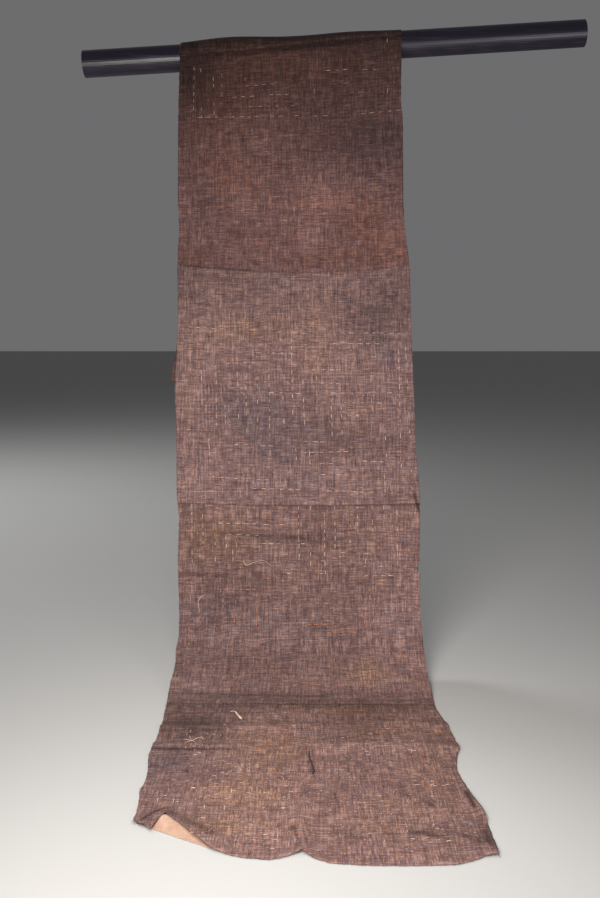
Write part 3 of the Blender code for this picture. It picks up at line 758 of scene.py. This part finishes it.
def loose_thread(skein, places, widths, rises):
    """A thread that lies on the cloth through the places, as wide and as high as given at each."""
    knots = range(len(places))
    x_at = smooth_curve([(k, place[0]) for k, place in zip(knots, places)])
    run_at = smooth_curve([(k, place[1]) for k, place in zip(knots, places)])
    width_at = smooth_curve(list(zip(knots, widths)))
    rise_at = smooth_curve(list(zip(knots, rises)))
    points = []
    thickness = []
    for step in np.linspace(0, len(places) - 1, 6 * (len(places) - 1) + 1):
        width = float(width_at(step))
        points.append(on_face(float(x_at(step)), float(run_at(step)), float(rise_at(step)) + width * 0.35))
        thickness.append(width)
    skein.strand(points, off_face(places[0][1]), thickness, 0.8)


def raffia_finish(name, middle, light, slubs, flecks, shift, hues, gold):
    """Plain-woven dyed raffia: uneven threads both ways, pale slubs, rusty flecks, and the stains and painted
    light and shade that the tone carries.
    """
    finish = Finish(name)
    place = finish.place("weave")

    def threads(across_scale, along_scale, seed, detail=2):
        return finish.cloud(place, (across_scale, along_scale, 1), detail, (seed + shift, seed, 0))

    warp = threads(410, 36, 1)
    weft = threads(40, 410, 17)
    long_warp = threads(215, 12, 31)
    long_weft = threads(14, 215, 47)
    over = finish.step(finish.lattice(place, RAFFIA_PITCH), -0.45, 0.45)
    lead = finish.step(threads(13, 16, 59, 3), 0.42, 0.60)
    thread = weft + (over * 0.5 + lead * 0.5) * (warp - weft)
    broad = threads(6, 6, 71, 4)
    mottle = threads(44, 50, 83, 3)
    grain = threads(170, 170, 89, 3)
    value = (thread - 0.5) * 1.5 + (long_warp * 0.75 + long_weft * 0.65 - 0.70) + (broad - 0.5) * 0.35
    value = value + (mottle - 0.5) * 0.6 + (grain - 0.5) * 0.4 + 0.5
    colour = finish.ramp(value, ((0.0, DARKEST), (0.5, middle), (1.0, light)))
    purple = finish.step(threads(80, 46, 97, 3), 0.44, 0.62)
    colour = finish.tint(purple * 0.75 * hues, colour, (0.92, 1.00, 1.14, 1.0))
    rusty_tint = finish.step(threads(240, 22, 113), 0.54, 0.66)
    colour = finish.tint(rusty_tint * 0.60 * hues, colour, (1.15, 1.00, 0.83, 1.0))
    warmth = finish.attribute("warmth")
    golden = finish.step(warmth, 0.0, 0.9)
    bluish = finish.step(warmth, 0.0, -0.9)
    colour = finish.tint(golden, colour, gold)
    colour = finish.tint(bluish, colour, (0.91, 1.00, 1.10, 1.0))
    pale_down = finish.step(threads(430, 110, 131), 0.655, 0.70)
    colour = finish.mix(pale_down * slubs, colour, PALE_SLUB)
    pale_across = finish.step(threads(110, 430, 149), 0.650, 0.70)
    colour = finish.mix(pale_across * slubs, colour, PALE_SLUB)
    rusty = finish.step(threads(330, 120, 167), 0.640, 0.69)
    colour = finish.mix(rusty * flecks, colour, RUSTY_FLECK)
    # The tone brings in the stains and the painted light and shade from shades().
    colour = finish.tint(1.0, colour, finish.attribute("tone"))
    height = over * 0.35 + thread * 0.9 + (long_warp + long_weft) * 0.3 + grain * 0.4
    bump = finish.bump(0.45, 0.0006, height)
    return finish.surface(Base_Color=colour, Roughness=0.88, Specular_IOR_Level=0.2, Normal=bump)


def thread_finish(name, first, second):
    """Thread or fibre whose colour drifts along it."""
    finish = Finish(name)
    place = finish.node("ShaderNodeTexCoord").outputs["Object"]
    drift = finish.step(finish.cloud(place, (90, 90, 90), 3), 0.35, 0.65)
    grain = finish.cloud(place, (810, 810, 810))
    colour = finish.mix(drift, (*first, 1.0), (*second, 1.0))
    return finish.surface(Base_Color=colour, Roughness=0.8, Normal=finish.bump(0.4, 0.0003, grain))


def backing_finish():
    """Undyed raffia: warm cream, with a fine even weave."""
    finish = Finish("undyed_raffia")
    place = finish.place("weave")
    warp = finish.cloud(place, (700, 40, 1))
    weft = finish.cloud(place, (40, 700, 1), shift=(9, 0, 0))
    over = finish.step(finish.lattice(place, BACKING_PITCH), -0.5, 0.5)
    thread = weft + over * (warp - weft)
    soft = finish.cloud(place, (28, 28, 1), 3)
    value = (thread - 0.5) * 2.2 + (soft - 0.5) * 1.6 + 0.5
    stops = ((0.0, (0.23, 0.135, 0.086)), (0.5, (0.34, 0.212, 0.150)), (1.0, (0.41, 0.275, 0.200)))
    bump = finish.bump(0.35, 0.0004, over * 0.5 + thread)
    return finish.surface(Base_Color=finish.ramp(value, stops), Roughness=0.82, Normal=bump)


def rod_finish():
    """Dark satin paint with faint rubbed streaks."""
    finish = Finish("rod_paint")
    place = finish.node("ShaderNodeTexCoord").outputs["Object"]
    streaks = finish.cloud(place, (6, 260, 260), 3)
    smudge = finish.cloud(place, (9, 14, 14), 3)
    worn = finish.step(streaks + (smudge - 0.5) * 0.5, 0.50, 0.78)
    colour = finish.mix(worn, (0.010, 0.007, 0.018, 1.0), (0.040, 0.028, 0.060, 1.0))
    bump = finish.bump(0.15, 0.0003, streaks)
    return finish.surface(Base_Color=colour, Roughness=0.32 + worn * 0.25, Normal=bump)


def make_camera():
    data = bpy.data.cameras.new("camera")
    data.sensor_width = SENSOR_MM
    data.lens = SENSOR_MM * FOCAL_PIXELS / IMAGE_HEIGHT
    camera = bpy.data.objects.new("camera", data)
    camera.location = (STRIP_X, ROD_Y - CAMERA_BACK, CAMERA_HEIGHT)
    camera.rotation_euler = (math.pi / 2 - CAMERA_PITCH, 0.0, 0.0)
    bpy.context.collection.objects.link(camera)
    bpy.context.scene.camera = camera


def make_light(name, place, aim, size, power, colour, spread):
    data = bpy.data.lights.new(name, "AREA")
    data.shape = "DISK"
    data.size = size
    data.energy = power
    data.color = colour
    data.spread = math.radians(spread)
    light = bpy.data.objects.new(name, data)
    light.location = place
    light.rotation_euler = (Vector(aim) - Vector(place)).to_track_quat("-Z", "Y").to_euler()
    light.visible_camera = False
    bpy.context.collection.objects.link(light)


def make_studio():
    """A plain grey floor and soft lamps: the key is low in front, so the top of the cloth is darker."""
    bpy.ops.mesh.primitive_plane_add(size=40.0, location=(0.0, 0.0, -FLOOR_DROP))
    floor = bpy.context.object
    floor.name = "floor"
    floor.data.materials.append(Finish("pale_floor").surface(Base_Color=FLOOR_COLOUR, Roughness=0.9))
    world = bpy.data.worlds.new("studio")
    world.use_nodes = True
    sky = world.node_tree.nodes["Background"].inputs
    sky[0].default_value = SKY_COLOUR
    sky[1].default_value = SKY_STRENGTH
    bpy.context.scene.world = world
    for lamp in LAMPS:
        make_light(*lamp)
    bpy.context.scene.view_settings.view_transform = "Standard"


def make_backing(finish):
    """The small light piece: flat at its lower edge, tacked under the panel at its upper one."""
    rows, columns = 30, 40
    share, part = np.meshgrid(np.linspace(0, 1, rows), np.linspace(0, 1, columns), indexing="ij")
    lower = np.array(BACKING_LOWER)
    upper = np.array(BACKING_UPPER)
    start = lower[0] + (upper[0] - lower[0]) * share[..., None]
    end = lower[1] + (upper[1] - lower[1]) * share[..., None]
    places = start + (end - start) * part[..., None]
    x, run = places[..., 0], places[..., 1]
    run = run + (1 - share) * ripple(part * 14, part * 0, 3.3) * 0.0010
    tacked = np.maximum(relief(x, run) - TACK_AIR - BACKING_SHEET, 0.0)
    height = tacked * smooth_step(share) * 0.96
    back = points_on(x, run, np.zeros(np.shape(x)))
    back[..., 2] = height
    face = back.copy()
    face[..., 2] = height + BACKING_SHEET
    made = sheet_object("corner_backing", face, back, x, run, (np.ones(np.shape(x)),), finish)
    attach(made, "root")
    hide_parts("corner_backing")
    return made


def sew_rows(skein, rows, width=STITCH_WIDTH):
    """Rows of running stitches: x and run where each starts and ends, and the share that has worn away."""
    for x_start, run_start, x_end, run_end, lost in rows:
        running_line(skein, (x_start, run_start), (x_end, run_end), skip=lost, width=width)


def sew_uprights(skein, lean, rows, pitch=STITCH_PITCH):
    """Upright rows that lean a little: x, the runs where each starts and ends, and the share worn away."""
    for x, top, bottom, lost in rows:
        running_line(skein, (x, top), (x + lean, bottom), skip=lost, pitch=pitch)


def sew_singles(skein, places, way, length, width, rise):
    """Single stitches, all one way and of one size."""
    for x, run in places:
        stitch(skein, x, run, way, length, width, rise)


def stitches_of_first_panel(finish):
    """Nested brackets under the rod, most of them worn away at the right."""
    skein = Skein()
    sew_rows(skein, (
        (-0.281, 0.084, -0.282, 0.222, 0.10), (-0.262, 0.089, -0.262, 0.118, 0.10),
        (-0.262, 0.192, -0.262, 0.228, 0.15), (-0.229, 0.112, -0.229, 0.146, 0.35),
        (-0.229, 0.180, -0.228, 0.226, 0.15), (-0.207, 0.106, -0.207, 0.168, 0.30),
        (-0.150, 0.080, -0.150, 0.112, 0.30), (-0.147, 0.120, -0.146, 0.146, 0.20),
        (0.231, 0.042, 0.230, 0.070, 0.10), (0.232, 0.172, 0.232, 0.194, 0.0),
        (0.038, 0.162, 0.038, 0.180, 0.0), (-0.276, 0.225, -0.112, 0.233, 0.05),
        (-0.107, 0.234, 0.000, 0.236, 0.50), (0.030, 0.238, 0.068, 0.238, 0.0),
        (0.094, 0.242, 0.122, 0.241, 0.20), (0.156, 0.239, 0.262, 0.234, 0.10),
        (-0.140, 0.204, -0.046, 0.207, 0.15), (-0.030, 0.209, 0.002, 0.209, 0.0),
        (0.114, 0.214, 0.148, 0.214, 0.20), (-0.184, 0.175, -0.110, 0.175, 0.10),
        (-0.107, 0.175, -0.019, 0.179, 0.50), (-0.006, 0.182, 0.108, 0.182, 0.40),
        (0.128, 0.182, 0.162, 0.182, 0.10), (-0.150, 0.148, -0.064, 0.148, 0.10),
        (0.064, 0.121, 0.138, 0.121, 0.15), (0.162, 0.123, 0.206, 0.125, 0.20),
        (0.000, 0.123, 0.030, 0.123, 0.20), (0.112, 0.157, 0.140, 0.157, 0.0),
    ), FINE_STITCH_WIDTH)
    return skein.piece("running_stitches_1", finish)


def stitches_of_second_panel(finish):
    """Long upright rows, two rows along the top, and short bars between the uprights."""
    skein = Skein()
    sew_rows(skein, (
        (-0.300, 0.794, -0.195, 0.800, 0.30), (-0.195, 0.802, 0.010, 0.812, 0.65),
        (0.080, 0.812, 0.272, 0.812, 0.12), (0.082, 0.838, 0.240, 0.840, 0.20),
        (0.262, 0.850, 0.268, 1.180, 0.22), (0.279, 0.840, 0.296, 1.235, 0.35),
    ))
    sew_uprights(skein, 0.004, (
        (-0.262, 0.86, 1.00, 0.55), (-0.224, 0.87, 1.06, 0.20), (-0.200, 0.95, 1.06, 0.40),
        (-0.166, 0.91, 1.05, 0.15), (-0.145, 0.92, 1.07, 0.12), (-0.114, 0.90, 1.08, 0.25),
        (-0.082, 0.85, 1.14, 0.12), (-0.053, 0.86, 0.94, 0.30), (-0.046, 0.95, 1.05, 0.40),
        (-0.024, 0.82, 1.04, 0.15), (0.008, 0.93, 1.05, 0.20), (0.042, 0.92, 1.00, 0.25),
        (0.082, 0.96, 1.10, 0.15), (0.108, 1.00, 1.09, 0.45), (0.188, 0.98, 1.05, 0.20),
        (0.224, 1.06, 1.15, 0.25), (-0.010, 1.11, 1.18, 0.15), (0.024, 1.12, 1.17, 0.25),
        (-0.240, 1.10, 1.16, 0.20), (0.222, 1.18, 1.24, 0.15),
    ))
    sew_rows(skein, (
        (-0.140, 0.864, -0.090, 0.866, 0.30), (-0.080, 0.865, -0.020, 0.866, 0.30),
        (0.184, 0.872, 0.236, 0.874, 0.20), (-0.200, 0.892, -0.105, 0.890, 0.20),
        (0.026, 0.908, 0.120, 0.908, 0.25), (0.050, 0.943, 0.125, 0.946, 0.15),
        (-0.190, 0.956, -0.120, 0.958, 0.20), (-0.085, 0.968, 0.004, 0.972, 0.10),
        (0.060, 0.970, 0.180, 0.970, 0.12), (0.226, 0.970, 0.262, 0.970, 0.25),
        (0.110, 0.996, 0.210, 0.998, 0.20), (0.120, 1.030, 0.155, 1.030, 0.0),
        (0.006, 1.098, 0.080, 1.100, 0.08), (0.002, 1.128, 0.122, 1.126, 0.08),
        (-0.178, 1.106, -0.140, 1.107, 0.0), (-0.108, 1.110, -0.068, 1.110, 0.10),
        (0.160, 1.150, 0.226, 1.152, 0.15), (0.046, 1.156, 0.096, 1.157, 0.20),
        (0.050, 1.186, 0.132, 1.186, 0.10), (-0.240, 1.190, -0.148, 1.196, 0.10),
        (-0.140, 1.198, -0.070, 1.200, 0.30), (-0.130, 1.222, -0.004, 1.226, 0.10),
        (0.066, 1.228, 0.206, 1.232, 0.12),
    ))
    return skein.piece("running_stitches_2", finish)


def stitches_of_third_panel(finish):
    """Upright rows below the middle seam, with rows across between them."""
    skein = Skein()
    sew_uprights(skein, 0.002, (
        (-0.284, 1.257, 1.420, 0.08), (-0.257, 1.285, 1.372, 0.20), (-0.225, 1.335, 1.418, 0.20),
        (-0.195, 1.340, 1.382, 0.10), (-0.167, 1.360, 1.392, 0.10), (-0.003, 1.262, 1.420, 0.15),
        (0.026, 1.262, 1.310, 0.30), (0.064, 1.282, 1.450, 0.06), (0.091, 1.262, 1.400, 0.30),
        (0.130, 1.290, 1.400, 0.12), (0.151, 1.262, 1.340, 0.20), (0.189, 1.262, 1.340, 0.10),
        (0.219, 1.262, 1.312, 0.15), (0.256, 1.275, 1.420, 0.20), (0.026, 1.360, 1.440, 0.50),
        (0.170, 1.380, 1.430, 0.45), (-0.178, 1.360, 1.410, 0.60),
    ))
    sew_rows(skein, (
        (-0.220, 1.313, -0.100, 1.316, 0.10), (-0.100, 1.317, -0.030, 1.316, 0.40),
        (-0.196, 1.343, -0.110, 1.346, 0.15), (-0.150, 1.368, 0.030, 1.368, 0.45),
        (-0.050, 1.395, -0.018, 1.395, 0.0), (0.102, 1.392, 0.190, 1.394, 0.45),
        (-0.110, 1.444, 0.066, 1.446, 0.55), (0.160, 1.426, 0.240, 1.426, 0.20),
        (0.146, 1.452, 0.240, 1.452, 0.20),
    ))
    return skein.piece("running_stitches_3", finish)


def stitches_of_lower_panels(pale, rusty):
    """Thin pale bars in loose groups on the floor panel, and rusty stitches above the lower seam."""
    bars = Skein()
    for x, run, half_width, half_length, count in (
        (0.22, 2.11, 0.08, 0.035, 20), (0.26, 2.26, 0.05, 0.020, 10), (-0.19, 2.28, 0.09, 0.080, 22),
        (-0.08, 2.24, 0.08, 0.070, 18), (-0.12, 2.44, 0.08, 0.040, 16), (0.22, 2.45, 0.10, 0.030, 14),
        (-0.20, 2.14, 0.06, 0.050, 12), (0.06, 2.34, 0.20, 0.080, 20), (-0.02, 2.02, 0.24, 0.050, 16),
    ):
        for _ in range(count):
            upright = chance.random() < 0.35
            direction = UPRIGHT if upright else SIDEWAYS
            place = (x + half_width * chance.uniform(-1, 1), run + half_length * chance.uniform(-1, 1))
            stitch(bars, *place, direction, STITCH_LENGTH * chance.uniform(0.3, 0.8), 0.0010, 0.0004)
    sew_singles(bars, (
        (-0.242, 2.336), (-0.273, 2.331), (-0.181, 2.358), (-0.143, 2.361), (-0.134, 2.293),
        (-0.078, 2.298),
    ), UPRIGHT, 0.017, 0.0016, 0.0006)
    sew_singles(bars, (
        (-0.032, 2.365), (-0.048, 2.507), (-0.210, 2.282), (-0.063, 2.460), (-0.094, 2.460),
        (-0.187, 2.284), (0.233, 2.120), (0.243, 2.122), (0.245, 2.075), (0.215, 2.086), (0.262, 2.269),
        (0.283, 2.273), (0.292, 2.269), (0.230, 2.486), (0.263, 2.484), (0.201, 2.474), (-0.222, 2.135),
    ), SIDEWAYS, 0.008, 0.0015, 0.0006)
    bars_piece = bars.piece("running_stitches_4", pale)
    rows = Skein()
    sew_uprights(rows, -0.002, (
        (-0.290, 1.545, 1.655, 0.30), (-0.260, 1.545, 1.612, 0.30), (-0.222, 1.555, 1.648, 0.35),
        (-0.202, 1.488, 1.592, 0.10), (-0.169, 1.512, 1.598, 0.15), (-0.145, 1.526, 1.580, 0.10),
        (-0.113, 1.492, 1.580, 0.20), (-0.086, 1.520, 1.610, 0.30), (-0.050, 1.590, 1.612, 0.0),
        (0.183, 1.480, 1.598, 0.15), (0.215, 1.556, 1.592, 0.20), (0.243, 1.500, 1.535, 0.30),
        (-0.294, 1.684, 1.720, 0.30), (-0.216, 1.680, 1.758, 0.45), (-0.257, 1.700, 1.726, 0.20),
    ), RUSTY_PITCH)
    for left, right, run, lost in (
        (-0.204, -0.108, 1.488, 0.15), (0.015, 0.130, 1.577, 0.15), (0.068, 0.158, 1.600, 0.20),
        (-0.186, -0.080, 1.626, 0.50), (0.015, 0.086, 1.524, 0.50), (0.025, 0.120, 1.556, 0.60),
    ):
        running_line(rows, (left, run), (right, run), skip=lost, pitch=RUSTY_PITCH)
    sew_singles(rows, (
        (-0.275, 0.917), (-0.276, 0.931), (-0.287, 1.200), (-0.291, 1.209), (-0.304, 0.652), (0.050, 0.775),
        (-0.2455, 2.104),
    ), UPRIGHT, 0.008, 0.0022, 0.0009)
    rows_piece = rows.piece("rusty_stitches", rusty)
    return bars_piece, rows_piece


def seam_stitches(name, seam, finish):
    """Small slanted stitches that hold a lapped seam."""
    skein = Skein(4)
    for place in np.arange(0.006, 0.994, SEAM_PITCH):
        run = float(seam(place)) + HALF_LAP - 0.0012
        x = float(across(np.array([place]), np.array([run]))[0])
        points = []
        for part, height in ((-0.5, 1.2), (-0.1, 1.7), (0.35, 1.1), (0.5, -0.3)):
            rise = (SHEET + CLEAR) * min(height, 1.0) + 0.0003 * height
            points.append(on_face(x + part * 0.0030, run + part * 0.0052, rise))
        skein.strand(points, off_face(run), [SEAM_THREAD] * 4)
    return skein.piece(name, finish)


def frayed_ends(finish):
    """Short broken threads along the hem, thickest at its two corners."""
    skein = Skein(3)
    for place in np.linspace(0.002, 0.998, FRAYED_PLACES):
        corner = math.exp(-(place / 0.03) ** 2) + math.exp(-((1 - place) / 0.025) ** 2)
        if chance.random() > 0.55 + corner:
            continue
        run = float(hem(place))
        x = float(across(np.array([place]), np.array([run]))[0])
        length = chance.uniform(0.0015, 0.0042) + corner * chance.uniform(0.002, 0.008)
        sway = chance.uniform(-0.6, 0.6) + (-0.5 if place < 0.05 else 0.0)
        points = []
        for part in (-0.3, 0.25, 0.65, 1.0):
            side = sway * length * part * part
            points.append(on_face(x + side, run + part * length, -0.0006 + 0.0004 * part))
        skein.strand(points, Vector((0, 0, 1)), [0.0008, 0.0007, 0.0005, 0.0003])
    return skein.piece("frayed_hem", finish)


def edge_fuzz(finish):
    """Fine fibres that stand off both side edges."""
    skein = Skein(3)
    for run in np.arange(FIBRE_START, FIBRE_END, FIBRE_PITCH):
        for edge, way in ((left_edge, -1.0), (right_edge, 1.0)):
            if chance.random() < BARE_SHARE:
                continue
            place = run + chance.uniform(-0.002, 0.002)
            x = float(edge(np.array([place]))[0])
            length = chance.uniform(0.0008, 0.0028)
            slope = chance.uniform(-1.0, 1.0)
            points = []
            for part in (-0.4, 0.4, 1.0):
                points.append(on_face(x + way * length * part, place + slope * length * part, -0.0007))
            skein.strand(points, off_face(place), [0.0007, 0.0005, 0.0003])
    return skein.piece("edge_fibres", finish)


def loose_threads(pale, dark):
    """The few loose threads that lie on the face."""
    light = Skein(6)
    loose_thread(
        light,
        ((-0.147, 1.403), (-0.147, 1.416), (-0.139, 1.423), (-0.122, 1.416), (-0.098, 1.411), (-0.083, 1.419),
         (-0.074, 1.425)),
        (0.0008, 0.0018, 0.0017, 0.0014, 0.0007, 0.0009, 0.0005),
        (0.001, 0.002, 0.002, 0.001, 0.002, 0.001, 0.0),
    )
    loose_thread(
        light,
        ((-0.2466, 1.4998), (-0.26, 1.506), (-0.2664, 1.524), (-0.2621, 1.547)),
        (0.0008, 0.0015, 0.0013, 0.0007),
        (0.0, 0.002, 0.001, 0.0),
    )
    loose_thread(
        light,
        ((-0.1645, 1.911), (-0.159, 1.915), (-0.152, 1.924), (-0.1435, 1.94), (-0.137, 1.95),
         (-0.1335, 1.954)),
        (0.0010, 0.0022, 0.0030, 0.0046, 0.0060, 0.0026),
        (0.0005, 0.002, 0.002, 0.001, 0.0005, 0.0005),
    )
    for start, end in (
        ((-0.256, 2.060), (-0.234, 2.069)), ((-0.249, 2.090), (-0.234, 2.066)),
        ((-0.237, 2.070), (-0.215, 2.047)), ((-0.236, 2.066), (-0.224, 2.094)),
        ((-0.244, 2.042), (-0.236, 2.066)), ((-0.216, 2.044), (-0.211, 2.062)),
    ):
        middle = ((start[0] + end[0]) / 2 + chance.uniform(-0.002, 0.002), (start[1] + end[1]) / 2)
        loose_thread(light, (start, middle, end), (0.0007, 0.0014, 0.0007), (0.0003, 0.0014, 0.0003))
    light_piece = light.piece("loose_pale_threads", pale)
    deep = Skein(6)
    loose_thread(deep, ((0.020, 2.120), (0.019, 2.150), (0.024, 2.185), (0.027, 2.215), (0.026, 2.228)),
                 (0.0020, 0.0030, 0.0034, 0.0046, 0.0020), (0.0, 0.0006, 0.0006, 0.0006, 0.0))
    return light_piece, deep.piece("loose_dark_thread", dark)


def main():
    make_camera()
    make_studio()
    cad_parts["rod"].data.materials.clear()
    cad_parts["rod"].data.materials.append(rod_finish())
    back, first, second, third, fourth = (raffia_finish(*dyed) for dyed in (
        ("raffia_back", (0.085, 0.047, 0.042), (0.22, 0.135, 0.11), 0.25, 0.3, 5.0, 1.0, ORANGE),
        ("raffia_first", (0.100, 0.051, 0.046), (0.249, 0.139, 0.120), 0.20, 0.42, 11.0, 1.2, ORANGE),
        ("raffia_second", (0.114, 0.066, 0.061), (0.300, 0.182, 0.155), 0.36, 0.26, 23.0, 1.1, GOLDEN),
        ("raffia_third", (0.100, 0.056, 0.051), (0.275, 0.165, 0.135), 0.32, 0.36, 37.0, 1.1, GOLDEN),
        ("raffia_fourth", (0.117, 0.063, 0.056), (0.322, 0.193, 0.154), 0.60, 0.38, 53.0, 1.45, GOLDEN),
    ))
    seam_thread = thread_finish("seam_thread", (0.090, 0.052, 0.046), (0.150, 0.090, 0.078))
    pale_thread = thread_finish("pale_thread", (0.52, 0.37, 0.28), (0.34, 0.23, 0.17))
    rusty_thread = thread_finish("rusty_thread", (0.44, 0.155, 0.068), (0.27, 0.11, 0.06))
    dark_thread = thread_finish("dark_thread", (0.030, 0.020, 0.020), (0.070, 0.045, 0.040))
    black_thread = thread_finish("black_thread", (0.010, 0.006, 0.006), (0.022, 0.012, 0.011))

    lines = [seam_line(ends) for ends in (BACK_SEAM, ROD_SEAM, UPPER_SEAM, MIDDLE_SEAM, LOWER_SEAM)]
    seams = list(zip(lines, (BACK_DIRT_AND_SHADE, ROD_DIRT_AND_SHADE, UPPER_DIRT_AND_SHADE, MIDDLE_DIRT_AND_SHADE, LOWER_DIRT_AND_SHADE)))
    back_seam, rod_seam, upper_seam, middle_seam, lower_seam = lines
    back_hem = seam_line(BACK_HEM)

    back_lower = panel("panel_back_lower", back_hem, back_seam, back, seams, tucked=False)
    back_upper = panel("panel_back_upper", back_seam, rod_seam, back, seams)
    front_1 = panel("panel_front_1", rod_seam, upper_seam, first, seams)
    front_2 = panel("panel_front_2", upper_seam, middle_seam, second, seams)
    front_3 = panel("panel_front_3", middle_seam, lower_seam, third, seams)
    front_4 = panel("panel_front_4", lower_seam, hem, fourth, seams,
                    laps_over=False, hem_rise=HEM_RISE, cell=FINE_CELL)
    backing = make_backing(backing_finish())

    stitches_1 = stitches_of_first_panel(pale_thread)
    stitches_2 = stitches_of_second_panel(pale_thread)
    stitches_3 = stitches_of_third_panel(pale_thread)
    stitches_4, rusty = stitches_of_lower_panels(pale_thread, rusty_thread)
    threads = (seam_thread, dark_thread, seam_thread, seam_thread, seam_thread)
    for seam_name, line, thread in zip(("back", "rod", "upper", "middle", "lower"), lines, threads):
        seam_stitches("seam_stitches_" + seam_name, line, thread)
    frayed = frayed_ends(dark_thread)
    edge_fuzz(dark_thread)
    pale_loose, dark_loose = loose_threads(pale_thread, black_thread)


main()
